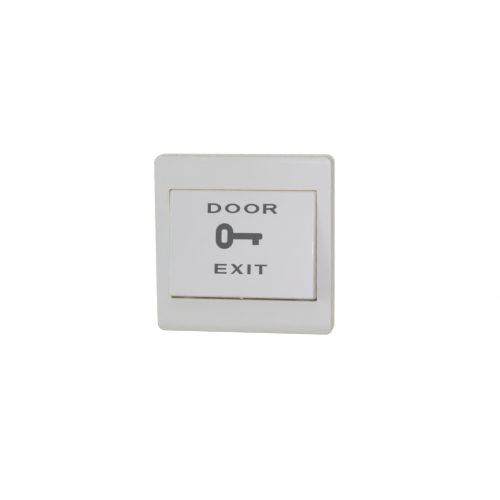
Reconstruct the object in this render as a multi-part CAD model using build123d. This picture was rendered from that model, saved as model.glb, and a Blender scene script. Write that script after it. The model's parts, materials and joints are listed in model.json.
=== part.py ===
from build123d import *
import math
import os

# A door exit button for a flush wall box. Millimetres, seen from the front:
# X to the right, Z up, Y away from the viewer. The wall's surface is the plane Y = 0,
# and the origin lies on it, midway between the two fixing slots.

# Face plate
plate_size = 86.0
plate_depth = 9.2
plate_wall = 2.0
plate_corner = 3.8
plate_draft = 1.0  # degrees
plate_edge_round = 1.1
top_bow_length = 4.0  # height over which the front falls back at the top edge
top_bow_radius = 15.0
bottom_bow_length = 6.2
bottom_bow_radius = 14.5
side_border = 7.5
top_border = 16.35
bottom_border = 16.65
opening_corner = 0.8
opening_edge_round = 0.3
skirt_wall = 1.4
skirt_depth = 3.4
pry_notch_width = 8.0
pry_notch_depth = 1.4
catch_x = 22.0
catch_width = 8.0
catch_wall = 1.4
catch_reach = 1.2
catch_thickness = 1.4
catch_play = 0.15
catch_gap = 0.3
catch_end_gap = 0.4
plate_rib = 1.0
plate_rib_gap = 0.4
plate_rib_pitch = 18.0

# Base frame
base_play = 0.4
base_thickness = 2.0
base_corner = 1.4
rim_wall = 1.6
rim_front_gap = 1.6
slot_edge = 12.85  # from the plate's side to the middle of a fixing slot
slot_width = 4.4
slot_length = 8.0
recess_margin = 2.2
recess_depth = 0.7
deck_rib = 1.2
deck_rib_gap = 0.3
deck_rib_pitch = 15.0
pocket_depth = 0.8
pocket_rib = 2.0
pocket_margin = 2.4

# Push button
button_gap = 0.18
button_bottom_gap = 1.0
button_proud = 7.5  # how far its bottom front edge stands out of the plate
button_wall = 1.8
button_draft = 1.0  # degrees
button_corner = 1.2
button_edge_round = 1.2
button_back_gap = 0.5
button_rib = 1.2
button_rib_height = 2.5
button_rib_x = 11.0
button_rib_z = 6.0
gate_width = 1.2
gate_height = 0.45
gate_x = 0.2
press_angle = 4.0  # degrees

# Hinge at the button's top edge
pin_radius = 1.5
pin_play = 0.08
pin_overhang = 0.6
ear_radius = 2.4
ear_thickness = 2.4
ear_gap = 0.5
ear_mouth = 2.3
ear_front = 1.35  # from the pin's axis to the open front of the ear
ear_top_gap = 1.07
lobe_radius = 2.6
lobe_gap = 0.4

# Stop hooks at the button's bottom edge
hook_inset = 7.1  # from the button's side to the middle of a hook
hook_width = 5.0
hook_thickness = 1.6
hook_reach = 1.6
hook_length = 1.7
hook_play = 0.15
hook_window_gap = 0.6

# Return springs
spring_inset = 8.1  # from the button's side to a spring's axis
spring_rise = 8.95  # from the button's bottom to a spring's axis
spring_radius = 3.0  # middle of the wire
spring_wire = 0.55
spring_length = 9.0
spring_turns = 5.0
spring_play = 0.4
spring_end_gap = 0.05
cup_wall = 1.0
cup_height = 2.0
post_length = 2.4

# Switch housing behind the base
housing_width = 46.0
housing_height = 34.0
housing_wall = 1.6
housing_corner = 2.0
sleeve_wall = 1.5
sleeve_height = 4.5
sleeve_play = 0.3
shelf_height = 8.0
shelf_gap = 1.0  # from the bridge's end to the shelf
boss_radius = 2.7
upper_boss_side = 4.0
upper_boss_drop = 3.4
lower_boss_gap = 1.9
lower_boss_rise = 5.0
wire_hole_radius = 1.8
barrier_wall = 1.2
barrier_gap = 1.0
barrier_height = 1.4

# Switch cover
cover_thickness = 1.8
cover_room = 1.0  # from the wire clamps to the cover
cover_play = 0.15
lip_wall = 1.0
lip_height = 0.8
access_play = 0.4
spring_post_length = 1.8
presser_radius = 1.5
presser_play = 0.05

# Plunger and its spring
plunger_rise = 10.95  # from the button's bottom to the plunger's axis
plunger_radius = 3.0
plunger_play = 0.1
plunger_dome = 5.0
plunger_reserve = 0.8  # still out of its sleeve when the button is pressed
actuator_gap = 0.1
actuator_size = 8.0
carrier_width = 11.0
carrier_height = 8.0
carrier_depth = 7.4
carrier_gap = 0.3
carrier_round = 0.6
plunger_spring_radius = 2.3
plunger_spring_wire = 0.35
plunger_spring_turns = 4.5
plunger_spring_play = 0.3
carrier_boss_length = 1.5

# Contacts
bridge_length = 26.0
bridge_width = 5.0
bridge_thickness = 0.6
bridge_crank = 1.0
bridge_crank_start = 6.6
bridge_crank_end = 8.4
bridge_inset = 4.7  # from the carrier's front face to the strip
tip_inset = 2.5
tip_radius = 1.6
tip_height = 0.8
contact_play = 0.05
strip_thickness = 0.8
strip_width = 6.0
strip_overlap = 1.3
strip_side = 2.0

# Screw terminals
terminal_drop = 7.6  # from the plunger's axis to a terminal screw's
tail_width = 5.0
cage_width = 8.2
cage_length = 6.0
cage_side = 1.8
cage_gap = 0.8
cage_wall = 1.2
cage_front_room = 3.7
cage_back_room = 0.7
cage_edge_round = 0.4
terminal_screw_radius = 1.5
terminal_head_radius = 2.9
terminal_head_height = 1.7
terminal_head_gap = 0.2
screw_slot_width = 0.7
screw_slot_depth = 0.8

# Small screws
small_screw_radius = 1.2
small_screw_play = 0.3
small_screw_length = 9.0
countersink_radius = 2.5
countersink_depth = 1.3
cover_screw_length = 7.0
cover_screw_head_radius = 2.2
cover_screw_head_height = 1.4

# Places that follow from the sizes above
plate_front = -plate_depth
plate_inside = plate_front + plate_wall
base_front = -base_thickness
base_size = plate_size - 2 * (plate_wall + base_play)
rim_inside = base_size / 2 - rim_wall
rim_front = plate_inside + rim_front_gap
slot_spacing = plate_size - 2 * slot_edge
catch_back = base_front - catch_end_gap
opening_width = plate_size - 2 * side_border
opening_top = plate_size / 2 - top_border
opening_bottom = bottom_border - plate_size / 2
opening_height = opening_top - opening_bottom
opening_centre_z = (opening_top + opening_bottom) / 2
button_top = opening_top - button_gap
button_bottom = opening_bottom + button_bottom_gap
button_width = opening_width - 2 * button_gap
hinge_y = base_front - lobe_gap - lobe_radius
hinge_z = button_top - button_wall - ear_top_gap - ear_radius
button_swing = hinge_z - button_bottom  # radius of the bottom wall about the hinge
front_edge_z = hinge_z - math.sqrt(button_swing ** 2 - (hinge_y - plate_front + button_proud) ** 2)
button_slope = button_proud / (button_top - front_edge_z)
hook_x = button_width / 2 - hook_inset
spring_x = button_width / 2 - spring_inset
spring_z = button_bottom + spring_rise
plunger_z = button_bottom + plunger_rise
press = math.radians(press_angle)
bottom_travel = button_swing * math.sin(press)
button_back_bottom = base_front - bottom_travel - button_back_gap
button_back_top = hinge_y + pin_radius
plunger_travel = (hinge_z - plunger_z) * press
sleeve_front = -sleeve_height
sleeve_radius = plunger_radius + plunger_play + sleeve_wall
plunger_tip = sleeve_front - plunger_travel - plunger_reserve
carrier_front = housing_wall + carrier_gap
carrier_back = carrier_front + carrier_depth
bridge_front = carrier_front + bridge_inset
bridge_end_back = bridge_front + bridge_crank + bridge_thickness
fixed_tip_front = bridge_end_back + tip_height + plunger_travel + contact_play
strip_front = fixed_tip_front + tip_height
strip_back = strip_front + strip_thickness
cage_front = strip_front - cage_front_room - cage_wall
cage_back = strip_back + cage_back_room + cage_wall
tip_x = bridge_length / 2 - tip_inset
strip_inner_x = tip_x - tip_radius - strip_overlap
strip_outer_x = housing_width / 2 - housing_wall - strip_side
terminal_x = housing_width / 2 - housing_wall - cage_side - cage_width / 2
terminal_z = plunger_z - terminal_drop
housing_depth = cage_back + cover_room
housing_bottom = terminal_z - cage_length / 2 - cage_gap - housing_wall
housing_top = housing_bottom + housing_height
housing_middle = (housing_top + housing_bottom) / 2
upper_boss_x = housing_width / 2 - upper_boss_side
upper_boss_z = housing_top - upper_boss_drop
lower_boss_x = terminal_x - cage_width / 2 - lower_boss_gap - boss_radius
lower_boss_z = housing_bottom + lower_boss_rise
spring_seat = base_front - spring_length
cover_back = housing_depth + cover_thickness


def sheet(y):
    """Drawing plane that faces the front at the given depth."""
    return Plane.XZ.offset(-y)


def slab(outline, back, front, taper=0):
    """Pull a front view outline from its back depth to its front depth."""
    return extrude(sheet(back) * outline, amount=back - front, taper=taper)


def rod(x, z, radius, back, front):
    """Round bar along Y."""
    return slab(Pos(x, z) * Circle(radius), back, front)


def block(x_span, y_span, z_span):
    """Rectangular block between two values on each axis."""
    lengths = [span[1] - span[0] for span in (x_span, y_span, z_span)]
    middle = [sum(span) / 2 for span in (x_span, y_span, z_span)]
    return Pos(*middle) * Box(*lengths)


def side_slab(outline, left, right):
    """Pull a side view outline, drawn in Y and Z, from left to right."""
    return extrude(Plane.YZ.offset(left) * outline, amount=right - left, dir=(1, 0, 0))


def around(middle, width):
    """The two ends of a width about its middle."""
    return (middle - width / 2, middle + width / 2)


def edges_between(body, faces_a, faces_b):
    """Edges that two groups of faces share."""
    other = [edge for face in faces_b for edge in face.edges()]
    return [edge for face in faces_a for edge in face.edges() if edge in other]


def coil(x, z, back, front, radius, wire, turns):
    """Wire spring along Y between two depths, its wire drawn with eight sides."""
    low = front + wire / 2 + spring_end_gap
    high = back - wire / 2 - spring_end_gap
    path = Helix((high - low) / turns, high - low, radius)
    profile = Plane(origin=path @ 0, z_dir=path % 0) * RegularPolygon(wire / 2, 8)
    spring = sweep(profile, path=path, is_frenet=True)
    return Pos(x, low, z) * Rot(-90, 0, 0) * spring


def bow(start, radius, run, up):
    """Arc of the plate's front from where it starts to fall back."""
    front, z = start
    drop = radius - math.sqrt(radius ** 2 - run ** 2)
    end = (front + drop, z + up * run)
    return TangentArc(start, end, tangent=(0, up)), end


def plate_blank(inset):
    """The plate's solid form, or with an inset the space inside its walls."""
    front = plate_front + inset
    upper = (front, plate_size / 2 - top_bow_length)
    lower = (front, -plate_size / 2 + bottom_bow_length)
    upper_arc, upper_end = bow(upper, top_bow_radius - inset, top_bow_length + 1, 1)
    lower_arc, lower_end = bow(lower, bottom_bow_radius - inset, bottom_bow_length + 1, -1)
    back = plate_depth
    rest = Polyline(upper_end, (back, upper_end[1]), (back, lower_end[1]), lower_end)
    profile = make_face([Line(upper, lower), upper_arc, rest, lower_arc])
    prism = side_slab(profile, -plate_size, plate_size)
    side = plate_size - 2 * inset
    outline = RectangleRounded(side, side, plate_corner - min(inset, plate_corner * 0.6))
    return slab(outline, 0, plate_front - 1, plate_draft) & prism


def rounded_plate():
    """Plate blank with its front edges rounded."""
    blank = plate_blank(0)
    front_faces = [face for face in blank.faces() if face.normal_at().Y < -0.7]
    side_faces = [face for face in blank.faces() if abs(face.normal_at().Y) < 0.2]
    return fillet(edges_between(blank, front_faces, side_faces), plate_edge_round)


def opening_outline(grow=0.0):
    """Outline of the opening, made larger all round where asked."""
    width = opening_width + 2 * grow
    height = opening_height + 2 * grow
    return Pos(0, opening_centre_z) * RectangleRounded(width, height, opening_corner + grow)


def plate_catch(x, up):
    """Snap arm inside the plate's top or bottom wall, with its barb."""
    outer = rim_inside - catch_gap
    barb_front = catch_back - catch_thickness
    arm_end = catch_back
    arm = [
        (plate_inside - plate_wall / 2, outer - catch_wall),
        (plate_inside - plate_wall / 2, outer),
        (barb_front, outer),
        (barb_front, outer + catch_reach),
        (arm_end, outer),
        (arm_end, outer - catch_wall),
    ]
    outline = Polygon(*[(y, up * z) for y, z in arm], align=None)
    return side_slab(outline, *around(x, catch_width))


def plate_ribs(low, high):
    """Row of low ribs inside the plate's front, between the opening and an outer wall."""
    row = [index * plate_rib_pitch for index in (-1.5, -0.5, 0.5, 1.5)]
    deep = (plate_inside - plate_wall / 2, rim_front - plate_rib_gap)
    return [block(around(x, plate_rib), deep, (low, high)) for x in row]


def make_face_plate():
    """Hollow square cover with the opening for the button."""
    plate = rounded_plate() - plate_blank(plate_wall)
    skirt_back = plate_inside + skirt_depth
    plate += slab(opening_outline(skirt_wall), skirt_back, plate_inside - plate_wall / 2)
    plate -= slab(opening_outline(), skirt_back + 1, plate_front - 1)
    rim = [edge for edge in plate.edges() if on_opening_rim(edge)]
    plate = fillet(rim, opening_edge_round)
    wall_middle = plate_size / 2 - plate_wall / 2
    plate += plate_ribs(opening_top + skirt_wall / 2, wall_middle)
    plate += plate_ribs(-wall_middle, opening_bottom - skirt_wall / 2)
    for x in (-catch_x, catch_x):
        for up in (-1, 1):
            plate += plate_catch(x, up)
    notch_z = (-plate_size / 2 - 1, -plate_size / 2 + plate_wall + 1)
    plate -= block(around(0, pry_notch_width), (-pry_notch_depth, 1), notch_z)
    return plate


def on_opening_rim(edge):
    """Whether an edge of the plate is on the front rim of the opening."""
    box = edge.bounding_box()
    flat = max(abs(box.min.Y - plate_front), abs(box.max.Y - plate_front)) < 0.001
    inside_x = max(abs(box.min.X), abs(box.max.X)) < opening_width / 2 + 0.01
    inside_z = box.max.Z < opening_top + 0.01 and box.min.Z > opening_bottom - 0.01
    return flat and inside_x and inside_z


def ear(side):
    """Clip on the base that a pivot pin of the button snaps into from the front."""
    outer = side * (button_width / 2 - button_wall - ear_gap)
    inner = outer - side * ear_thickness
    left, right = sorted((outer, inner))
    stem_back = base_front + base_thickness / 2
    stem = Pos((hinge_y + stem_back) / 2, hinge_z) * Rectangle(stem_back - hinge_y, 2 * ear_radius)
    mouth = Pos(hinge_y - ear_radius, hinge_z) * Rectangle(2 * ear_radius, ear_mouth)
    open_front = Pos(hinge_y - ear_front - ear_radius, hinge_z) * Rectangle(2 * ear_radius, 3 * ear_radius)
    outline = Pos(hinge_y, hinge_z) * Circle(ear_radius) + stem - mouth - open_front
    outline -= Pos(hinge_y, hinge_z) * Circle(pin_radius + pin_play)
    return side_slab(outline, left, right)


def spring_cup(x):
    """Ring on the base round the foot of a return spring."""
    inner = spring_radius + spring_wire / 2 + spring_play
    front = base_front - cup_height
    cup = rod(x, spring_z, inner + cup_wall, base_front / 2, front)
    return cup - rod(x, spring_z, inner, base_front, front - 1)


def hook_window(x):
    """Window in the base that a stop hook of the button reaches through."""
    low = button_bottom
    high = button_bottom + button_wall + hook_thickness + hook_window_gap
    width = hook_width + 2 * hook_window_gap
    return block(around(x, width), (base_front - 1, 1), (low, high))


def catch_window(x, up):
    """Window in the base's rim for a barb of the plate."""
    front = catch_back - catch_thickness - catch_play
    depth = catch_thickness + 2 * catch_play
    z_span = sorted((up * (rim_inside - 1), up * (base_size / 2 + 1)))
    return block(around(x, catch_width + 2 * catch_gap), (front, front + depth), z_span)


def rear_pockets(low, high, count=4):
    """Row of shallow recesses in the back of the base, with ribs between them."""
    start = -rim_inside + pocket_margin
    pitch = (2 * -start + pocket_rib) / count
    row = [start + index * pitch for index in range(count)]
    spans = [(left, left + pitch - pocket_rib) for left in row]
    return [block(span, (-pocket_depth, 1), (low, high)) for span in spans]


def deck_ribs(low, high):
    """Row of stiffening ribs on the front of the base, above or below the button."""
    row = [index * deck_rib_pitch for index in range(-2, 3)]
    deep = (plate_inside + skirt_depth + deck_rib_gap, base_front / 2)
    return [block(around(x, deck_rib), deep, (low, high)) for x in row]


def countersunk_screw(x, z):
    """Flat head screw that goes in from the front, with its cross recess."""
    shank = rod(x, z, small_screw_radius, base_front + small_screw_length, base_front)
    head = countersink(x, z, 0)
    recess = block(around(x, 2 * countersink_radius * 0.6), (base_front - 1, base_front + 0.5),
                   around(z, screw_slot_width))
    cross = block(around(x, screw_slot_width), (base_front - 1, base_front + 0.5),
                  around(z, 2 * countersink_radius * 0.6))
    return shank + head - recess - cross


def countersink(x, z, play):
    """Cone of a flat screw head, or with play the seat that is cut for it."""
    cone = Cone(small_screw_radius + play, countersink_radius + play, countersink_depth)
    return Pos(x, base_front + countersink_depth / 2, z) * Rot(90, 0, 0) * cone


def housing_screw_places():
    """Where the four screws hold the housing on the base."""
    upper = [(side * upper_boss_x, upper_boss_z) for side in (-1, 1)]
    lower = [(side * lower_boss_x, lower_boss_z) for side in (-1, 1)]
    return upper + lower


def make_base_frame():
    """Carrier that is screwed to the wall box and holds everything else."""
    outline = RectangleRounded(base_size, base_size, base_corner)
    base = slab(outline, 0, rim_front)
    hollow = RectangleRounded(2 * rim_inside, 2 * rim_inside, base_corner / 2)
    base -= slab(hollow, base_front, rim_front - 1)
    base += deck_ribs(opening_top + skirt_wall, rim_inside + rim_wall / 2)
    base += deck_ribs(-rim_inside - rim_wall / 2, opening_bottom - skirt_wall)
    for side in (-1, 1):
        base += ear(side)
        base += spring_cup(side * spring_x)
        base -= hook_window(side * hook_x)
        slot = Pos(side * slot_spacing / 2, 0) * SlotOverall(slot_length, slot_width)
        base -= slab(slot, 1, base_front - 1)
        seat = SlotOverall(slot_length + 2 * recess_margin, slot_width + 2 * recess_margin)
        seat_back = base_front + recess_depth
        base -= slab(Pos(side * slot_spacing / 2, 0) * seat, seat_back, base_front - 1)
        for up in (-1, 1):
            base -= catch_window(side * catch_x, up)
    base -= rod(0, plunger_z, sleeve_radius + sleeve_play, 1, base_front - 1)
    for x, z in housing_screw_places():
        base -= rod(x, z, small_screw_radius + small_screw_play, 1, base_front - 1)
        base -= countersink(x, z, small_screw_play / 10)
    pocket_end = rim_inside - pocket_margin
    for pocket in rear_pockets(housing_top + pocket_margin, pocket_end):
        base -= pocket
    for pocket in rear_pockets(-pocket_end, housing_bottom - pocket_margin):
        base -= pocket
    return base


def button_front(z, inset=0.0):
    """Depth of the button's sloping front at a height."""
    along = inset * math.sqrt(1 + button_slope ** 2)
    return plate_front - button_slope * (button_top - z) + along


def bottom_wall_z(y):
    """Height of the outside of the button's bottom wall at a depth."""
    return hinge_z - math.sqrt(button_swing ** 2 - (y - hinge_y) ** 2)


def button_side_view(inset, front_inset, back_top, back_bottom):
    """Wedge between the sloping front and the back line, with a bottom that curves about the hinge."""
    top = button_top - inset
    bottom = button_bottom - 1
    wedge = Polygon(
        (button_front(top, front_inset), top),
        (button_front(bottom, front_inset), bottom),
        (back_bottom, bottom),
        (back_top, top),
        align=None,
    )
    return wedge & Pos(hinge_y, hinge_z) * Circle(button_swing - inset)


def button_blank(inset, front_inset, back_top, back_bottom):
    """The button's solid form, or with insets the space inside its walls."""
    back = plate_depth
    lean = (back - plate_front) * math.tan(math.radians(button_draft))
    outline = Rectangle(button_width + 2 * (lean - inset), 2 * plate_size)
    sides = slab(outline, back, 2 * plate_front - button_proud, button_draft)
    profile = button_side_view(inset, front_inset, back_top, back_bottom)
    return sides & side_slab(profile, -plate_size, plate_size)


def button_shell():
    """Hollow wedge with a rounded front edge, open at the back."""
    body = button_blank(0, 0, button_back_top, button_back_bottom)
    sides = [face for face in body.faces() if abs(face.normal_at().X) > 0.9]
    ends = [face for face in body.faces() if abs(face.normal_at().Z) > 0.9]
    body = fillet(edges_between(body, sides, ends), button_corner)
    front = body.faces().filter_by(lambda face: face.normal_at().Y < -0.9)
    body = fillet(front.edges(), button_edge_round)
    return body - button_blank(button_wall, button_wall, 4, 4)


def button_ribs():
    """Ribs that stand on the inside of the sloping front."""
    inside = button_blank(button_wall - 0.1, button_wall - 0.1, 4, 4)
    deeper = button_blank(0, button_wall + button_rib_height, 5, 5)
    high = (button_bottom, button_top)
    deep = (plate_front - button_proud - 1, 0)
    wide = (-button_width / 2, button_width / 2)
    ribs = block(around(-button_rib_x, button_rib), deep, high)
    ribs += block(around(button_rib_x, button_rib), deep, high)
    ribs += block(wide, deep, around(button_rib_z, button_rib))
    return (ribs & inside) - deeper


def pivot(side):
    """Lobe on the button's side wall with the pin that turns in the base's ear."""
    wall = (side * button_width / 2, side * (button_width / 2 - button_wall))
    pin_end = side * (button_width / 2 - button_wall - ear_gap - ear_thickness - pin_overhang)
    disc = Pos(hinge_y, hinge_z) * Circle(lobe_radius)
    pin = Pos(hinge_y, hinge_z) * Circle(pin_radius)
    lobe = side_slab(disc, *sorted(wall))
    return lobe + side_slab(pin, *sorted((wall[1] + side * button_wall / 2, pin_end)))


def stop_hook(x):
    """Arm along the button's bottom wall with the barb that stops it behind the base."""
    low = button_bottom + button_wall - 0.1
    high = button_bottom + button_wall + hook_thickness
    start = button_front(high) + button_wall / 2
    outline = Polygon(
        (start, low),
        (hook_play + hook_length, low),
        (hook_play + hook_length, high),
        (hook_play + hook_length / 3, high + hook_reach),
        (hook_play, high + hook_reach),
        (hook_play, high),
        (start, high),
        align=None,
    )
    return side_slab(outline, *around(x, hook_width))


def spring_post(x):
    """Pad and post inside the button that hold the head of a return spring."""
    front = button_front(spring_z) + button_wall / 2
    pad_radius = spring_radius + spring_wire / 2 + spring_play
    post_radius = spring_radius - spring_wire / 2 - spring_play
    pad = rod(x, spring_z, pad_radius, spring_seat, front)
    return pad + rod(x, spring_z, post_radius, spring_seat + post_length, spring_seat)


def actuator():
    """Square post inside the button that pushes the plunger."""
    front = button_front(plunger_z) + button_wall / 2
    outline = Pos(0, plunger_z) * RectangleRounded(actuator_size, actuator_size, button_rib)
    return slab(outline, plunger_tip - actuator_gap, front)


def make_push_button():
    """Wedge-shaped button, one moulding with its pins, posts and hooks."""
    button = button_shell() + button_ribs() + actuator()
    for side in (-1, 1):
        button += pivot(side)
        button += stop_hook(side * hook_x)
        button += spring_post(side * spring_x)
    gate_front = plate_front - button_proud + button_edge_round + gate_height
    gate_y = (gate_front, gate_front + gate_width)
    gate_low = bottom_wall_z(gate_front) - gate_height
    gate_z = (gate_low, gate_low + button_wall / 2)
    return button + block(around(gate_x, gate_width), gate_y, gate_z)


def make_return_spring(side):
    """Coil between the base and the button's post."""
    wire = spring_wire
    return coil(side * spring_x, spring_z, base_front, spring_seat, spring_radius, wire, spring_turns)


def housing_outline(inset=0.0):
    """Front view of the housing, or of the room inside it."""
    corner = max(housing_corner - inset, 0.4)
    width = housing_width - 2 * inset
    height = housing_height - 2 * inset
    return Pos(0, housing_middle) * RectangleRounded(width, height, corner)


def shelf(side):
    """Ledge that a fixed contact lies on."""
    inner = bridge_length / 2 + shelf_gap
    outer = housing_width / 2 - housing_wall / 2
    x_span = sorted((side * inner, side * outer))
    return block(x_span, (housing_wall / 2, strip_front), around(plunger_z, shelf_height))


def cage_pocket(side):
    """Stop below the cage that keeps it from dropping out of line."""
    x_span = around(side * terminal_x, cage_width)
    z_low = housing_bottom + housing_wall / 2
    return block(x_span, (housing_wall / 2, cage_front), (z_low, terminal_z + cage_length / 2))


def make_switch_housing():
    """Block behind the base, open at the back, with the sleeve for the plunger."""
    housing = slab(housing_outline(), housing_depth, 0)
    housing -= slab(housing_outline(housing_wall), housing_depth + 1, housing_wall)
    housing += rod(0, plunger_z, sleeve_radius, housing_wall, sleeve_front)
    barrier_top = plunger_z - carrier_height / 2 - barrier_gap
    barrier_z = (housing_bottom + housing_wall / 2, barrier_top)
    housing += block(around(0, barrier_wall), (housing_wall / 2, strip_front), barrier_z)
    for x, z in housing_screw_places():
        back = housing_depth if z > plunger_z else carrier_back
        housing += rod(x, z, boss_radius, back, housing_wall / 2)
    for side in (-1, 1):
        housing += shelf(side)
        housing += cage_pocket(side)
        wire_y = strip_front - cage_front_room / 2
        hole = Pos(side * terminal_x, wire_y, housing_bottom)
        housing -= hole * Cylinder(wire_hole_radius, 3 * housing_wall)
        cover_bore = (side * upper_boss_x, upper_boss_z, small_screw_radius)
        housing -= rod(*cover_bore, housing_depth + 1, cover_back - cover_screw_length)
    for x, z in housing_screw_places():
        housing -= rod(x, z, small_screw_radius, base_front + small_screw_length, -1)
    return housing - rod(0, plunger_z, plunger_radius + plunger_play, housing_wall + 1, sleeve_front - 1)


def cover_lip():
    """Low wall on the cover that drops inside the housing."""
    outer = housing_outline(housing_wall + cover_play)
    inner = housing_outline(housing_wall + cover_play + lip_wall)
    lip = slab(outer - inner, housing_depth, housing_depth - lip_height)
    for side in (-1, 1):
        keep_clear = boss_radius + cover_play
        lip -= rod(side * upper_boss_x, upper_boss_z, keep_clear, housing_depth, 0)
    return lip


def make_switch_cover():
    """Rear lid with the holes that the terminal screws are reached through."""
    cover = slab(housing_outline(), cover_back, housing_depth) + cover_lip()
    post_radius = plunger_spring_radius - plunger_spring_wire / 2 - plunger_spring_play
    cover += rod(0, plunger_z, post_radius, housing_depth, housing_depth - spring_post_length)
    ridge_z = (housing_bottom + housing_corner, plunger_z)
    cover += block(around(0, barrier_wall), (housing_depth + 1, cover_back + barrier_height), ridge_z)
    for side in (-1, 1):
        presser_x = side * (strip_outer_x - 2 * presser_radius)
        cover += rod(presser_x, plunger_z, presser_radius, housing_depth, strip_back + presser_play)
        access = terminal_head_radius + access_play
        cover -= rod(side * terminal_x, terminal_z, access, cover_back + 1, housing_depth - 1)
        bore = small_screw_radius + small_screw_play
        cover -= rod(side * upper_boss_x, upper_boss_z, bore, cover_back + 1, housing_depth - 1)
    return cover


def make_contact_plunger():
    """Domed round rod with the square carrier for the bridge behind it."""
    ball = Pos(0, plunger_tip + plunger_dome, plunger_z) * Sphere(plunger_dome)
    nose = rod(0, plunger_z, plunger_radius, plunger_tip + plunger_dome, plunger_tip) & ball
    stem = rod(0, plunger_z, plunger_radius, carrier_front + 1, plunger_tip + plunger_dome / 2)
    outline = Pos(0, plunger_z) * RectangleRounded(carrier_width, carrier_height, carrier_round)
    carrier = slab(outline, carrier_back, carrier_front)
    post_radius = plunger_spring_radius - plunger_spring_wire / 2 - plunger_spring_play
    post = rod(0, plunger_z, post_radius, carrier_back + carrier_boss_length, carrier_back - 1)
    slot = block(around(0, 2 * carrier_width), (bridge_front, bridge_front + bridge_thickness),
                 around(plunger_z, bridge_width))
    return nose + stem + carrier + post - slot


def make_plunger_spring():
    """Coil between the carrier and the cover."""
    radius = plunger_spring_radius
    wire = plunger_spring_wire
    return coil(0, plunger_z, housing_depth, carrier_back, radius, wire, plunger_spring_turns)


def make_contact_bridge():
    """Sprung strip through the carrier, cranked back at both ends."""
    half = [
        (0, bridge_front),
        (bridge_crank_start, bridge_front),
        (bridge_crank_end, bridge_front + bridge_crank),
        (bridge_length / 2, bridge_front + bridge_crank),
    ]
    front = [(-x, y) for x, y in reversed(half)] + half[1:]
    back = [(x, y + bridge_thickness) for x, y in reversed(front)]
    outline = Polygon(*front, *back, align=None)
    low, high = around(plunger_z, bridge_width)
    return extrude(Plane.XY.offset(low) * outline, amount=high - low, dir=(0, 0, 1))


def make_bridge_tip(side):
    """Contact rivet on the back of the bridge."""
    return rod(side * tip_x, plunger_z, tip_radius, bridge_end_back + tip_height, bridge_end_back)


def make_fixed_tip(side):
    """Contact rivet on the front of a fixed contact."""
    return rod(side * tip_x, plunger_z, tip_radius, strip_front, fixed_tip_front)


def make_fixed_contact(side):
    """Flat strip from the contact rivet down into the wire clamp."""
    x_low, x_high = sorted((side * strip_inner_x, side * strip_outer_x))
    arm = block((x_low, x_high), (strip_front, strip_back), around(plunger_z, strip_width))
    tail_z = (terminal_z - cage_length / 2 - strip_thickness / 2, plunger_z)
    tail = block(around(side * terminal_x, tail_width), (strip_front, strip_back), tail_z)
    return arm + tail


def make_terminal_clamp(side):
    """Cage that the screw lifts to squeeze the wire against the strip."""
    outer_x = around(side * terminal_x, cage_width)
    inner_x = around(side * terminal_x, cage_width - 2 * cage_wall)
    span_z = around(terminal_z, cage_length)
    cage = block(outer_x, (cage_front, cage_back), span_z)
    cage = fillet(cage.edges().filter_by(Axis.Z), cage_edge_round)
    room = (cage_front + cage_wall, cage_back - cage_wall)
    cage -= block(inner_x, room, around(terminal_z, cage_length + 2))
    return cage - rod(side * terminal_x, terminal_z, terminal_screw_radius, cage_back + 1, strip_back)


def make_terminal_screw(side):
    """Slotted screw whose end bears on the strip."""
    x = side * terminal_x
    head_front = cage_back + terminal_head_gap
    head_back = head_front + terminal_head_height
    screw = rod(x, terminal_z, terminal_screw_radius, head_front, strip_back)
    screw += rod(x, terminal_z, terminal_head_radius, head_back, head_front)
    slot_y = (head_back - screw_slot_depth, head_back + 1)
    return screw - block(around(x, 3 * terminal_head_radius), slot_y, around(terminal_z, screw_slot_width))


def make_housing_screws():
    """The four flat head screws through the base."""
    return Compound([countersunk_screw(x, z).solid() for x, z in housing_screw_places()])


def cover_screw(side):
    """Round head screw through the cover."""
    x = side * upper_boss_x
    head_back = cover_back + cover_screw_head_height
    screw = rod(x, upper_boss_z, cover_screw_head_radius, head_back, cover_back)
    screw += rod(x, upper_boss_z, small_screw_radius, cover_back, cover_back - cover_screw_length)
    slot_y = (head_back - screw_slot_depth, head_back + 1)
    cut = 2 * cover_screw_head_radius * 0.7
    screw -= block(around(x, cut), slot_y, around(upper_boss_z, screw_slot_width))
    return screw - block(around(x, screw_slot_width), slot_y, around(upper_boss_z, cut))


def make_cover_screws():
    """The two round head screws in the cover."""
    return Compound([cover_screw(side).solid() for side in (-1, 1)])


def make_pieces():
    """Every piece by its node name."""
    pieces = {
        "face_plate": make_face_plate(),
        "base_frame": make_base_frame(),
        "push_button": make_push_button(),
        "switch_housing": make_switch_housing(),
        "switch_cover": make_switch_cover(),
        "contact_plunger": make_contact_plunger(),
        "plunger_spring": make_plunger_spring(),
        "contact_bridge": make_contact_bridge(),
        "housing_screws": make_housing_screws(),
        "cover_screws": make_cover_screws(),
    }
    for name, side in (("left", -1), ("right", 1)):
        pieces["return_spring_" + name] = make_return_spring(side)
        pieces["bridge_tip_" + name] = make_bridge_tip(side)
        pieces["fixed_tip_" + name] = make_fixed_tip(side)
        pieces["fixed_contact_" + name] = make_fixed_contact(side)
        pieces["terminal_clamp_" + name] = make_terminal_clamp(side)
        pieces["terminal_screw_" + name] = make_terminal_screw(side)
    return pieces


def write_pieces():
    """Write each piece to its own file."""
    os.makedirs("parts", exist_ok=True)
    for name, piece in make_pieces().items():
        export_step(piece, os.path.join("parts", name + ".step"))
    print("hinge axis y", hinge_y, "z", hinge_z)
    print("plunger travel", plunger_travel)


write_pieces()
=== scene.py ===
import json
import math

import bmesh
import bpy
from mathutils import Matrix, Vector


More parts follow.
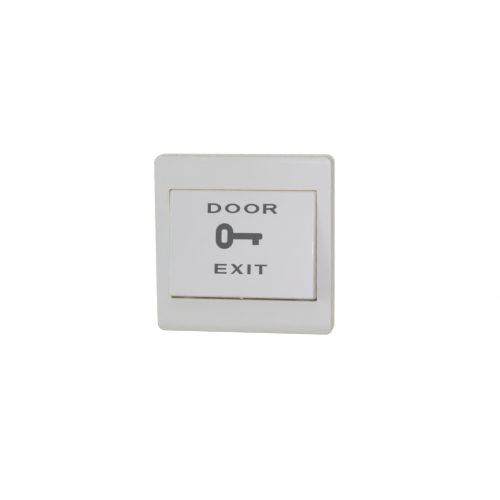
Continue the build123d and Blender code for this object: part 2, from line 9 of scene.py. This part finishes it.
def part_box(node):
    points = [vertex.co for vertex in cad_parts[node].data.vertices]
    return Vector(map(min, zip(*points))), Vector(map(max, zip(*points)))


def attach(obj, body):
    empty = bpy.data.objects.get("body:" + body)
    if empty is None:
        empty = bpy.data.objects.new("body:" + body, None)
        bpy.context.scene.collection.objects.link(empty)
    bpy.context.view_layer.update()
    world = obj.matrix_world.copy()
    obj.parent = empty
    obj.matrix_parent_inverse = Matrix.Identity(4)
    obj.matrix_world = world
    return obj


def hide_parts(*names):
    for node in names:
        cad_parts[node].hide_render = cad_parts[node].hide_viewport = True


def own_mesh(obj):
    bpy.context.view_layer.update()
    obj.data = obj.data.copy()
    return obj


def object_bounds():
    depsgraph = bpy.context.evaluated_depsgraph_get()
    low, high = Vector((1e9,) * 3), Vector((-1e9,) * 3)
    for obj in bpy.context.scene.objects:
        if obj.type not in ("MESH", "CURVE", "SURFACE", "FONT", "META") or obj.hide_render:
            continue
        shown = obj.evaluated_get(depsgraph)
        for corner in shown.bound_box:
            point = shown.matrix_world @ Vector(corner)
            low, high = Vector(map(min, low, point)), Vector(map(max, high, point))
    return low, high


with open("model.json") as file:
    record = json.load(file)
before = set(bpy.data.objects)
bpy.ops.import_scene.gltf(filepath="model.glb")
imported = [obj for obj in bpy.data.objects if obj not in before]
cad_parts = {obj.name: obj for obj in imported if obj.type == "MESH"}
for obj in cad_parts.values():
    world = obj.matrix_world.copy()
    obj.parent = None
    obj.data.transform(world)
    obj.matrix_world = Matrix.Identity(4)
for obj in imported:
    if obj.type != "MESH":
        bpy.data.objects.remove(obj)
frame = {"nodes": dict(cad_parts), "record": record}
cadLow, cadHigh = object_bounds()
nodes = frame["nodes"]
mm = 0.001
print("frame loaded:", len(nodes), "nodes")


def frameOf(across, up, out, origin):
    # the matrix that has these three directions as its axes, at this place
    matrix = Matrix((across, up, out)).transposed().to_4x4()
    matrix.translation = origin
    return matrix


# Small helpers for shader trees

def newMaterial(name):
    made = bpy.data.materials.new(name)
    made.use_nodes = True
    return made, made.node_tree, made.node_tree.nodes["Principled BSDF"]


def addNode(tree, kind, inputs=None, **settings):
    node = tree.nodes.new(kind)
    for key, value in settings.items():
        setattr(node, key, value)
    for key, value in (inputs or {}).items():
        node.inputs[key].default_value = value
    return node


def noiseField(tree, size, detail=2.0, stretch=(1, 1, 1)):
    # size is the width of one blotch in metres, stretch lengthens it along an axis
    place = addNode(tree, "ShaderNodeTexCoord")
    mapping = addNode(tree, "ShaderNodeMapping")
    mapping.inputs["Scale"].default_value = [1 / (size * s) for s in stretch]
    noise = addNode(tree, "ShaderNodeTexNoise", {"Scale": 1.0, "Detail": detail})
    tree.links.new(place.outputs["Object"], mapping.inputs["Vector"])
    tree.links.new(mapping.outputs["Vector"], noise.inputs["Vector"])
    return noise.outputs["Fac"]


# the two values that nearly all of a noise field lies between, and the rays that feel out a gap
shading = {"glossField": (0.3, 0.7), "toneField": (0.32, 0.68), "gapRays": 6}


def spreadGloss(tree, field, look):
    # turns a noise field into roughness, spread evenly about the middle value
    low, high = shading["glossField"]
    ranged = addNode(tree, "ShaderNodeMapRange", {
        "From Min": low, "From Max": high,
        "To Min": look["roughness"] - look["roughnessSpread"],
        "To Max": look["roughness"] + look["roughnessSpread"],
    })
    tree.links.new(field, ranged.inputs["Value"])
    return ranged.outputs["Result"]


def twoTones(tree, field, first, second):
    ramp = addNode(tree, "ShaderNodeValToRGB")
    for stop, place, colour in zip(ramp.color_ramp.elements, shading["toneField"], (first, second)):
        stop.position = place
        stop.color = (*colour, 1)
    tree.links.new(field, ramp.inputs["Fac"])
    return ramp.outputs["Color"]


def bump(tree, field, depth, before=None):
    node = addNode(tree, "ShaderNodeBump", {"Strength": 1.0, "Distance": depth})
    tree.links.new(field, node.inputs["Height"])
    if before is not None:
        tree.links.new(before, node.inputs["Normal"])
    return node.outputs["Normal"]


def paintGapLight(tree, colour, look):
    # painted light: deep in a narrow gap, found by ambient occlusion, the colour turns to a warm painted
    # tone that stands in for the warmer light soaking through the plastic there
    openness = addNode(tree, "ShaderNodeAmbientOcclusion", {"Distance": look["gapReach"]})
    openness.samples = shading["gapRays"]
    depth = addNode(tree, "ShaderNodeMapRange", {"From Min": look["gapFrom"], "From Max": look["gapTo"]})
    tree.links.new(openness.outputs["AO"], depth.inputs["Value"])
    blend = addNode(tree, "ShaderNodeMix", data_type="RGBA")
    blend.inputs["A"].default_value = (*look["paintedGapLight"], 1)
    tree.links.new(depth.outputs["Result"], blend.inputs["Factor"])
    tree.links.new(colour, blend.inputs["B"])
    return blend.outputs["Result"]


def scaled(colour, factor):
    return tuple(channel * factor for channel in colour)


# Materials

def mouldedPlastic(name, look):
    # injection moulded plastic: faint flow clouds, a slow swell of the surface and the mould's fine grain,
    # and where the look asks for it, painted warm light in narrow gaps
    made, tree, shader = newMaterial(name)
    clouds = noiseField(tree, look["cloudSize"])
    grain = noiseField(tree, look["grainSize"], detail=3.0)
    swell = noiseField(tree, look["swellSize"], detail=1.0)
    darker = scaled(look["colour"], 1 - look["colourSpread"])
    lighter = scaled(look["colour"], 1 + look["colourSpread"])
    colour = twoTones(tree, clouds, darker, lighter)
    # painted light: a warm tone painted into narrow gaps by ambient occlusion
    if "paintedGapLight" in look:
        colour = paintGapLight(tree, colour, look)
    tree.links.new(colour, shader.inputs["Base Color"])
    tree.links.new(spreadGloss(tree, grain, look), shader.inputs["Roughness"])
    normal = bump(tree, swell, look["swellDepth"])
    tree.links.new(bump(tree, grain, look["grainDepth"], normal), shader.inputs["Normal"])
    shader.inputs["IOR"].default_value = look["ior"]
    shader.inputs["Subsurface Weight"].default_value = look["milkiness"]
    shader.inputs["Subsurface Radius"].default_value = look["seeThrough"]
    shader.inputs["Subsurface Scale"].default_value = 1 * mm  # so seeThrough is in millimetres
    if "skin" in look:  # a thin, sharper shine over the soft one
        shader.inputs["Coat Weight"].default_value = look["skin"]
        shader.inputs["Coat Roughness"].default_value = look["skinRoughness"]
    return made


def workedMetal(name, look):
    # drawn, rolled or turned metal: streaks along one direction, two tones and a thin film of handling
    made, tree, shader = newMaterial(name)
    streaks = noiseField(tree, look["streakWidth"], detail=3.0, stretch=look["stretch"])
    film = noiseField(tree, look["filmSize"])
    tree.links.new(twoTones(tree, film, look["colour"], look["otherColour"]), shader.inputs["Base Color"])
    tree.links.new(spreadGloss(tree, streaks, look), shader.inputs["Roughness"])
    tree.links.new(bump(tree, streaks, look["streakDepth"]), shader.inputs["Normal"])
    shader.inputs["Metallic"].default_value = 1.0
    return made


plateLook = {
    "colour": (0.60, 0.605, 0.60), "colourSpread": 0.012, "cloudSize": 30 * mm,
    "roughness": 0.42, "roughnessSpread": 0.04, "ior": 1.5,
    "grainSize": 0.5 * mm, "grainDepth": 0.003 * mm, "swellSize": 6 * mm, "swellDepth": 0.02 * mm,
    "milkiness": 0.2, "seeThrough": (0.9, 0.6, 0.35),
    # the painted warm light in gaps: its colour, how far the occlusion looks, and where the tint starts
    # and ends
    "paintedGapLight": (0.97, 0.87, 0.57), "gapReach": 3.0 * mm, "gapFrom": 0.3, "gapTo": 0.5,
    "skin": 0.2, "skinRoughness": 0.035,
}
buttonLook = {
    "colour": (0.61, 0.61, 0.615), "colourSpread": 0.012, "cloudSize": 26 * mm,
    "roughness": 0.42, "roughnessSpread": 0.05, "ior": 1.5,
    "grainSize": 0.35 * mm, "grainDepth": 0.004 * mm, "swellSize": 7 * mm, "swellDepth": 0.015 * mm,
    "milkiness": 0.2, "seeThrough": (0.9, 0.6, 0.35),
    # the painted warm light in gaps: its colour, how far the occlusion looks, and where the tint starts
    # and ends
    "paintedGapLight": (0.95, 0.88, 0.64), "gapReach": 3.0 * mm, "gapFrom": 0.3, "gapTo": 0.5,
    "skin": 0.05, "skinRoughness": 0.035,
}
frameLook = {
    "colour": (0.50, 0.47, 0.40), "colourSpread": 0.02, "cloudSize": 24 * mm,
    "roughness": 0.55, "roughnessSpread": 0.06, "ior": 1.48,
    "grainSize": 0.22 * mm, "grainDepth": 0.008 * mm, "swellSize": 9 * mm, "swellDepth": 0.02 * mm,
    "milkiness": 0.15, "seeThrough": (0.8, 0.5, 0.3),
    # the painted warm light in gaps and recesses: its colour, how far the occlusion looks, and where the
    # tint starts and ends
    "paintedGapLight": (0.95, 0.70, 0.42), "gapReach": 3.0 * mm, "gapFrom": 0.3, "gapTo": 0.5,
}
housingLook = {
    "colour": (0.40, 0.40, 0.38), "colourSpread": 0.02, "cloudSize": 18 * mm,
    "roughness": 0.5, "roughnessSpread": 0.06, "ior": 1.48,
    "grainSize": 0.18 * mm, "grainDepth": 0.008 * mm, "swellSize": 8 * mm, "swellDepth": 0.015 * mm,
    "milkiness": 0.1, "seeThrough": (0.6, 0.5, 0.4),
}
plungerLook = {
    "colour": (0.58, 0.56, 0.48), "colourSpread": 0.02, "cloudSize": 8 * mm,
    "roughness": 0.3, "roughnessSpread": 0.04, "ior": 1.52,
    "grainSize": 0.3 * mm, "grainDepth": 0.002 * mm, "swellSize": 3 * mm, "swellDepth": 0.01 * mm,
    "milkiness": 0.4, "seeThrough": (1.2, 0.9, 0.5),
}
springLook = {
    "colour": (0.46, 0.46, 0.47), "otherColour": (0.56, 0.55, 0.54), "filmSize": 2 * mm,
    "roughness": 0.28, "roughnessSpread": 0.06,
    "streakWidth": 0.05 * mm, "streakDepth": 0.001 * mm, "stretch": (6, 1, 6),
}
screwLook = {
    "colour": (0.62, 0.63, 0.66), "otherColour": (0.70, 0.69, 0.62), "filmSize": 1.5 * mm,
    "roughness": 0.32, "roughnessSpread": 0.07,
    "streakWidth": 0.08 * mm, "streakDepth": 0.002 * mm, "stretch": (4, 1, 1),
}
brassLook = {
    "colour": (0.74, 0.53, 0.23), "otherColour": (0.66, 0.44, 0.18), "filmSize": 3 * mm,
    "roughness": 0.3, "roughnessSpread": 0.07,
    "streakWidth": 0.07 * mm, "streakDepth": 0.002 * mm, "stretch": (1, 1, 30),
}
silverLook = {
    "colour": (0.80, 0.79, 0.76), "otherColour": (0.72, 0.69, 0.64), "filmSize": 0.8 * mm,
    "roughness": 0.24, "roughnessSpread": 0.05,
    "streakWidth": 0.06 * mm, "streakDepth": 0.001 * mm, "stretch": (3, 1, 3),
}
inkLook = {
    "colour": (0.052, 0.054, 0.054), "colourSpread": 0.05, "cloudSize": 3 * mm,
    "roughness": 0.5, "roughnessSpread": 0.05, "ior": 1.45,
    "grainSize": 0.15 * mm, "grainDepth": 0.002 * mm, "swellSize": 2 * mm, "swellDepth": 0.002 * mm,
    "milkiness": 0.0, "seeThrough": (0.1, 0.1, 0.1),
    "skin": 0.1, "skinRoughness": 0.3,
}

finishes = {
    "plate_plastic": mouldedPlastic("plate_plastic", plateLook),
    "button_plastic": mouldedPlastic("button_plastic", buttonLook),
    "frame_plastic": mouldedPlastic("frame_plastic", frameLook),
    "housing_plastic": mouldedPlastic("housing_plastic", housingLook),
    "plunger_plastic": mouldedPlastic("plunger_plastic", plungerLook),
    "print_ink": mouldedPlastic("print_ink", inkLook),
    "spring_steel": workedMetal("spring_steel", springLook),
    "screw_steel": workedMetal("screw_steel", screwLook),
    "contact_brass": workedMetal("contact_brass", brassLook),
    "contact_silver": workedMetal("contact_silver", silverLook),
}
print("materials:", len(finishes))


# CAD pieces: their finish, and fine broken edges where the mould or the press leaves them

# how wide the broken edge of each node is, in millimetres, and how it is cut
edgeBreak = {
    "face_plate": 0.12, "push_button": 0.12, "base_frame": 0.15,
    "switch_housing": 0.2, "switch_cover": 0.25, "contact_plunger": 0.15,
    "housing_screws": 0.08, "cover_screws": 0.12,
    "contact_bridge": 0.06, "fixed_contact_left": 0.06, "fixed_contact_right": 0.06,
    "terminal_clamp_left": 0.1, "terminal_clamp_right": 0.1,
    "terminal_screw_left": 0.12, "terminal_screw_right": 0.12,
    "bridge_tip_left": 0.12, "bridge_tip_right": 0.12, "fixed_tip_left": 0.12, "fixed_tip_right": 0.12,
}
edgeCut = {"weldWithin": 0.002 * mm, "segments": 2, "sharperThan": math.radians(35)}


def dressNode(name, slotName):
    piece = nodes[name]
    piece.data.materials.clear()
    piece.data.materials.append(finishes[slotName])
    if name in edgeBreak:
        weld = piece.modifiers.new("weld", "WELD")
        weld.merge_threshold = edgeCut["weldWithin"]
        edge = piece.modifiers.new("edge", "BEVEL")
        edge.width = edgeBreak[name] * mm
        edge.segments = edgeCut["segments"]
        edge.limit_method = "ANGLE"
        edge.angle_limit = edgeCut["sharperThan"]
        edge.harden_normals = True


for part in frame["record"]["subparts"]:
    dressNode(part["node"], part["material_slot"])
print("CAD pieces dressed")


# Springs of round wire with closed ends, in place of the eight-sided ones

returnSpring = {"turns": 5.0, "wire": 0.55 * mm, "closedTurns": 0.9}
plungerSpring = {"turns": 4.5, "wire": 0.35 * mm, "closedTurns": 0.8}
# closedPitch is the way from one closed turn to the next in wire widths, so they don't cut into each other
winding = {"sides": 12, "stepsPerTurn": 40, "closedPitch": 1.02}


def coilPoint(share, spring, radius, low, high):
    # the end turns lie close, so the pitch is small there and even in between
    turn = share * spring["turns"]
    closed = spring["closedTurns"]
    shut = spring["wire"] * closed * winding["closedPitch"]
    if turn < closed:
        rise = shut * turn / closed
    elif turn > spring["turns"] - closed:
        rise = (high - low) - shut * (spring["turns"] - turn) / closed
    else:
        along = (turn - closed) / (spring["turns"] - 2 * closed)
        rise = shut + (high - low - 2 * shut) * along
    angle = 2 * math.pi * turn
    return Vector((radius * math.cos(angle), low + rise, radius * math.sin(angle)))


def makeCoil(name, node, spring):
    low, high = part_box(node)
    centre = (low + high) / 2
    wire, sides = spring["wire"], winding["sides"]
    radius = (high.z - low.z - wire) / 2
    steps = int(spring["turns"] * winding["stepsPerTurn"])
    ends = (low.y + wire / 2, high.y - wire / 2)
    points = [coilPoint(i / steps, spring, radius, *ends) for i in range(steps + 1)]
    mesh = bmesh.new()
    rings = []
    for i, point in enumerate(points):
        along = (points[min(i + 1, steps)] - points[max(i - 1, 0)]).normalized()
        outward = Vector((point.x, 0, point.z)).normalized()
        side = along.cross(outward).normalized()
        ring = []
        for k in range(sides):
            turn = 2 * math.pi * k / sides
            offset = outward * math.cos(turn) + side * math.sin(turn)
            place = point + offset * wire / 2 + Vector((centre.x, 0, centre.z))
            ring.append(mesh.verts.new(place))
        rings.append(ring)
    for first, second in zip(rings, rings[1:]):
        for k in range(sides):
            following = (k + 1) % sides
            mesh.faces.new((first[k], first[following], second[following], second[k]))
    mesh.faces.new(rings[0][::-1])
    mesh.faces.new(rings[-1])
    bmesh.ops.recalc_face_normals(mesh, faces=mesh.faces)
    for face in mesh.faces:
        face.smooth = len(face.verts) == 4  # the two cut ends stay flat
    data = bpy.data.meshes.new(name)
    mesh.to_mesh(data)
    mesh.free()
    data.materials.append(finishes["spring_steel"])
    coil = bpy.data.objects.new(name, data)
    bpy.context.scene.collection.objects.link(coil)
    return coil


for side in ("left", "right"):
    nodeName = "return_spring_" + side
    coil = makeCoil("return_coil_" + side, nodeName, returnSpring)
    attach(coil, "base")
    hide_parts(nodeName)
    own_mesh(coil)

coil = makeCoil("plunger_coil", "plunger_spring", plungerSpring)
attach(coil, "base")
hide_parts("plunger_spring")
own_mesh(coil)
print("springs wound")


# Print on the button: two plain words and a plain key sign, laid on the sloping face

# millimetres: the height of a letter, the widths of its strokes, and how far the ink stands out of the
# face and reaches into it. An arc is drawn in arcSteps straight steps.
printing = {
    "capHeight": 4.7, "upright": 1.62, "crossbar": 0.85,
    "thickness": 0.02, "sunk": 0.02, "arcSteps": 14,
}
# where each word stands: its middle, its distance down the slope, and the room between letters
doorWord = {"middle": 0.19, "top": 6.3, "gap": 1.69}
exitWord = {"middle": -0.14, "top": 35.05, "gap": 1.82}
# the key: a tall round bow with a slot through it, a shank and one bit. Both middles and bitLow are
# distances down the slope.
keySign = {
    "middle": 21.85, "bowX": -8.2, "bowWidth": 8.55, "bowHeight": 12.3,
    "slotWidth": 2.75, "slotHeight": 6.3, "slotRound": 0.85, "slotRoundTall": 1.105,
    "shankMiddle": 21.76, "shankHeight": 3.1, "shankEnd": 10.1, "endRound": 1.15,
    "bitLeft": 5.25, "bitRight": 8.45, "bitLow": 25.9, "bitRound": 0.35,
}


def faceMatrix(node):
    # the face's own frame: X to the right, Y up the slope, Z out of it, from the middle of its top edge
    data = nodes[node].data
    frontward = -0.9  # a polygon whose normal points less than this to the front isn't the face
    facing = [polygon for polygon in data.polygons if polygon.normal.y < frontward]
    widest = max(facing, key=lambda polygon: polygon.area)
    normal = widest.normal
    uphill = Vector((0, -normal.z, normal.y)).normalized()
    if uphill.z < 0:
        uphill.negate()
    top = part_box(node)[1].z
    step = (top - widest.center.z) / uphill.z
    origin = Vector((0, widest.center.y + uphill.y * step, top))
    right = Vector((1, 0, 0))
    return frameOf(right, uphill, right.cross(uphill), origin)


def arc(x, y, width, height, start, end):
    # points on an ellipse with these half widths, from one angle to another in degrees
    steps = printing["arcSteps"]
    angles = [math.radians(start + (end - start) * i / steps) for i in range(steps + 1)]
    return [(x + width * math.cos(a), y + height * math.sin(a)) for a in angles]


def bar(left, right, low, high):
    return [(left, low), (right, low), (right, high), (left, high)]


def letterD():
    tall, stem, cross = printing["capHeight"], printing["upright"], printing["crossbar"]
    straight, belly = 3.1, 3.55  # the straight part of the bowl, and how far it swells beyond
    middle = tall / 2
    outer = [(0, 0)] + arc(straight, middle, belly, middle, -90, 90) + [(0, tall)]
    inner = [(stem, cross)]
    inner += arc(straight, middle, belly - stem, middle - cross, -90, 90) + [(stem, tall - cross)]
    return straight + belly, [outer, inner]


def letterO():
    tall, stem, cross = printing["capHeight"], printing["upright"], printing["crossbar"]
    half, middle = 3.75, tall / 2
    outer = arc(half, middle, half, middle, 0, 360)[:-1]
    inner = arc(half, middle, half - stem, middle - cross, 0, 360)[:-1]
    return 2 * half, [outer, inner]


def letterR():
    tall, stem, cross = printing["capHeight"], printing["upright"], printing["crossbar"]
    bowlShare, bowlAt, belly = 0.29, 4.3, 2.2
    bowl = tall * bowlShare  # half the height of the bowl
    drop = 0.15  # how far the top of the leg lies below the bowl
    waist = tall - 2 * bowl - drop
    legTop, legLeft, wide = 3.35, 5.2, 6.8
    legMeets = -66  # the angle at which the leg's outer side runs into the bowl
    holeAt, holeBelly, holeLift = 4.2, 0.75, 0.02
    outer = [(0, 0), (stem, 0), (stem, waist), (legTop, waist), (legLeft, 0), (wide, 0)]
    outer += arc(bowlAt, tall - bowl, belly, bowl, legMeets, 90) + [(0, tall)]
    inner = [(stem, waist + cross)]
    inner += arc(holeAt, tall - bowl + holeLift, holeBelly, bowl - cross, -90, 90)
    inner += [(stem, tall - cross)]
    return wide, [outer, inner]


def letterE():
    tall, stem, cross = printing["capHeight"], printing["upright"], printing["crossbar"]
    low, high = (tall - cross) / 2, (tall + cross) / 2
    wide, short = 5.9, 5.6
    return wide, [[
        (0, 0), (wide, 0), (wide, cross), (stem, cross),
        (stem, low), (short, low), (short, high), (stem, high),
        (stem, tall - cross), (wide, tall - cross), (wide, tall), (0, tall),
    ]]


def crossing(first, second):
    # where two straight lines meet, each given by two points
    (ax, ay), (bx, by) = first
    (cx, cy), (dx, dy) = second
    span = (bx - ax) * (dy - cy) - (by - ay) * (dx - cx)
    share = ((cx - ax) * (dy - cy) - (cy - ay) * (dx - cx)) / span
    return (ax + share * (bx - ax), ay + share * (by - ay))


def letterX():
    # a broad stroke falling to the right and a fine one rising to the right
    tall = printing["capHeight"]
    wide, broad, fine = 6.3, 1.95, 1.35
    inset = 0.1  # the top is this much narrower on each side
    fallLeft = ((inset, tall), (wide - broad, 0))
    fallRight = ((inset + broad, tall), (wide, 0))
    riseLeft = ((0, 0), (wide - inset - fine, tall))
    riseRight = ((fine, 0), (wide - inset, tall))
    return wide, [[
        (0, 0), (fine, 0), crossing(riseRight, fallLeft),
        (wide - broad, 0), (wide, 0), crossing(fallRight, riseRight),
        (wide - inset, tall), (wide - inset - fine, tall), crossing(riseLeft, fallRight),
        (inset + broad, tall), (inset, tall), crossing(fallLeft, riseLeft),
    ]]


def letterI():
    return printing["upright"], [bar(0, printing["upright"], 0, printing["capHeight"])]


def letterT():
    tall, stem, cross = printing["capHeight"], printing["upright"], printing["crossbar"]
    wide = 6.0
    left, right = (wide - stem) / 2, (wide + stem) / 2
    return wide, [[
        (left, 0), (right, 0), (right, tall - cross), (wide, tall - cross),
        (wide, tall), (0, tall), (0, tall - cross), (left, tall - cross),
    ]]


def setWord(letters, word):
    # a letter is its width and its loops, and here the letters stand side by side about the word's middle
    total = sum(width for width, loops in letters) + word["gap"] * (len(letters) - 1)
    x = word["middle"] - total / 2
    low = -word["top"] - printing["capHeight"]
    placed = []
    for width, loops in letters:
        for loop in loops:
            placed.append([(px + x, py + low) for px, py in loop])
        x += width + word["gap"]
    return placed


def keyLoops():
    key = keySign
    middle, shank = -key["middle"], -key["shankMiddle"]
    wide, tall = key["bowWidth"] / 2, key["bowHeight"] / 2
    straight = tall - wide
    half = key["shankHeight"] / 2
    end, corner = key["endRound"], key["bitRound"]
    bowRight = key["bowX"] + wide
    outer = arc(key["bowX"], middle + straight, wide, wide, 0, 180)
    outer += arc(key["bowX"], middle - straight, wide, wide, 180, 360)
    outer += [(bowRight, shank - half), (key["bitLeft"], shank - half)]
    outer += arc(key["bitLeft"] + corner, -key["bitLow"] + corner, corner, corner, 180, 270)
    outer += arc(key["bitRight"] - corner, -key["bitLow"] + corner, corner, corner, 270, 360)
    outer += [(key["bitRight"], shank - half)]
    outer += arc(key["shankEnd"] - end, shank - half + end, end, end, 270, 360)
    outer += arc(key["shankEnd"] - end, shank + half - end, end, end, 0, 90)
    outer += [(bowRight, shank + half)]
    wideRound, tallRound = key["slotRound"], key["slotRoundTall"]
    across, along = key["slotWidth"] / 2 - wideRound, key["slotHeight"] / 2 - tallRound
    corners = ((0, across, along), (90, -across, along), (180, -across, -along), (270, across, -along))
    inner = []
    for start, x, y in corners:
        inner += arc(key["bowX"] + x, middle + y, wideRound, tallRound, start, start + 90)
    return [outer, inner]


def printPiece(name, loops, matrix):
    # a thin raised print of filled loops, where a loop inside another is a hole
    outline = bpy.data.curves.new(name, "CURVE")
    outline.dimensions = "2D"
    outline.fill_mode = "BOTH"
    outline.extrude = (printing["thickness"] + printing["sunk"]) / 2 * mm
    for loop in loops:
        spline = outline.splines.new("POLY")
        spline.points.add(len(loop) - 1)
        for point, (x, y) in zip(spline.points, loop):
            point.co = (x * mm, y * mm, 0, 1)
        spline.use_cyclic_u = True
    source = bpy.data.objects.new(name + "_outline", outline)
    bpy.context.scene.collection.objects.link(source)
    bpy.context.view_layer.update()
    data = bpy.data.meshes.new_from_object(source)
    bpy.data.objects.remove(source)
    bpy.data.curves.remove(outline)
    raised = (printing["thickness"] - printing["sunk"]) / 2 * mm
    data.transform(matrix @ Matrix.Translation((0, 0, raised)))
    data.materials.clear()
    data.materials.append(finishes["print_ink"])
    data.name = name
    piece = bpy.data.objects.new(name, data)
    bpy.context.scene.collection.objects.link(piece)
    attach(piece, "button")


onFace = faceMatrix("push_button")
printPiece("word_door", setWord([letterD(), letterO(), letterO(), letterR()], doorWord), onFace)
printPiece("word_exit", setWord([letterE(), letterX(), letterI(), letterT()], exitWord), onFace)
printPiece("key_sign", keyLoops(), onFace)
print("print laid on the button")


# Floor, light and camera

stageLook = {
    "floorDrop": 0.75, "floorSize": 8.0, "floorColour": (0.56, 0.54, 0.40), "floorRoughness": 0.9,
    "whitening": 0.9, "worldLight": 0.41, "worldColour": (1.0, 0.975, 0.745),
}


def makeFloor():
    # a dull olive floor for the light that it throws back, seen and mirrored as white
    made, tree, shader = newMaterial("floor_pale")
    path = addNode(tree, "ShaderNodeLightPath")
    seen = addNode(tree, "ShaderNodeMath", operation="MAXIMUM")
    tree.links.new(path.outputs["Is Camera Ray"], seen.inputs[0])
    tree.links.new(path.outputs["Is Glossy Ray"], seen.inputs[1])
    shader.inputs["Base Color"].default_value = (*stageLook["floorColour"], 1)
    shader.inputs["Roughness"].default_value = stageLook["floorRoughness"]
    shader.inputs["Emission Color"].default_value = (1, 1, 1, 1)
    lift = addNode(tree, "ShaderNodeMath", {1: stageLook["whitening"]}, operation="MULTIPLY")
    tree.links.new(seen.outputs[0], lift.inputs[0])
    tree.links.new(lift.outputs[0], shader.inputs["Emission Strength"])
    half = stageLook["floorSize"] / 2
    low = cadLow.z - stageLook["floorDrop"]
    corners = [(-half, -half, low), (half, -half, low), (half, half, low), (-half, half, low)]
    data = bpy.data.meshes.new("floor")
    data.from_pydata(corners, [], [(0, 1, 2, 3)])
    data.materials.append(made)
    floor = bpy.data.objects.new("floor", data)
    bpy.context.scene.collection.objects.link(floor)


def makeWorld():
    # a warm soft light from all round, seen and mirrored as white
    world = bpy.data.worlds.new("studio")
    bpy.context.scene.world = world
    world.use_nodes = True
    tree = world.node_tree
    light = tree.nodes["Background"]
    light.inputs["Color"].default_value = (*stageLook["worldColour"], 1)
    light.inputs["Strength"].default_value = stageLook["worldLight"]
    white = addNode(tree, "ShaderNodeBackground", {"Color": (1, 1, 1, 1), "Strength": 1.0})
    path = addNode(tree, "ShaderNodeLightPath")
    sharp = addNode(tree, "ShaderNodeMath", operation="MAXIMUM")
    seen = addNode(tree, "ShaderNodeMath", operation="MAXIMUM")
    tree.links.new(path.outputs["Is Glossy Ray"], sharp.inputs[0])
    tree.links.new(path.outputs["Is Transmission Ray"], sharp.inputs[1])
    tree.links.new(path.outputs["Is Camera Ray"], seen.inputs[0])
    tree.links.new(sharp.outputs[0], seen.inputs[1])
    choice = addNode(tree, "ShaderNodeMixShader")
    tree.links.new(seen.outputs[0], choice.inputs["Fac"])
    tree.links.new(light.outputs[0], choice.inputs[1])
    tree.links.new(white.outputs[0], choice.inputs[2])
    tree.links.new(choice.outputs[0], tree.nodes["World Output"].inputs["Surface"])


# metres from the middle of the plate, watts, and the width of the lamp's square. The lamp behind isn't
# mirrored by the part, because its mirror image would wipe out the plate's top edge.
lamps = {
    "left": {
        "at": (-3.56, -2.40, 0.44), "power": 41.5, "size": 1.6,
        "colour": (0.76, 0.97, 0.94), "mirrored": True,
    },
    "beside_camera": {
        "at": (0.112, -0.634, 0.0905), "power": 1.26, "size": 0.003,
        "colour": (0.84, 0.785, 1.0), "mirrored": True,
    },
    "under_camera": {
        "at": (0.112, -0.634, -0.045), "power": 0.84, "size": 0.003,
        "colour": (0.84, 0.77, 1.0), "mirrored": True,
    },
    "overhead": {
        "at": (0.05, -0.45, 0.45), "power": 0.2, "size": 0.3,
        "colour": (0.85, 1.0, 0.95), "mirrored": True,
    },
    "behind": {
        "at": (-0.30, 1.60, 0.80), "power": 13.0, "size": 0.7,
        "colour": (0.86, 0.92, 1.0), "mirrored": False,
    },
}


def makeLamps():
    middle = Vector((0, 0, 0))
    for name, lamp in lamps.items():
        data = bpy.data.lights.new(name, "AREA")
        data.energy = lamp["power"]
        data.size = lamp["size"]
        data.color = lamp["colour"]
        made = bpy.data.objects.new(name, data)
        made.location = lamp["at"]
        made.rotation_euler = (middle - made.location).to_track_quat("-Z", "Y").to_euler()
        made.visible_camera = False
        made.visible_glossy = lamp["mirrored"]
        bpy.context.scene.collection.objects.link(made)


# where the photograph was taken from: degrees, millimetres for the lens and its sensor, otherwise metres
shot = {
    "azimuth": 9.89, "elevation": 8.61, "roll": -0.55, "distance": 0.651,
    "aimX": 0.00188, "aimZ": -0.00353, "lens": 96.9, "sensor": 36.0,
    "nearest": 0.01, "farthest": 20,
}


def makeCamera():
    turn, rise, roll = (math.radians(shot[key]) for key in ("azimuth", "elevation", "roll"))
    back = Vector((math.sin(turn) * math.cos(rise), -math.cos(turn) * math.cos(rise), math.sin(rise)))
    right = Vector((math.cos(turn), math.sin(turn), 0))
    up = back.cross(right)
    rolledRight = right * math.cos(roll) + up * math.sin(roll)
    rolledUp = up * math.cos(roll) - right * math.sin(roll)
    data = bpy.data.cameras.new("camera")
    data.lens = shot["lens"]
    data.sensor_width = shot["sensor"]
    data.clip_start = shot["nearest"]
    data.clip_end = shot["farthest"]
    camera = bpy.data.objects.new("camera", data)
    place = Vector((shot["aimX"], 0, shot["aimZ"])) + back * shot["distance"]
    camera.matrix_world = frameOf(rolledRight, rolledUp, back, place)
    bpy.context.scene.collection.objects.link(camera)
    bpy.context.scene.camera = camera


makeFloor()
makeWorld()
makeLamps()
makeCamera()
bpy.context.scene.view_settings.view_transform = "Standard"
print("stage, light and camera ready")
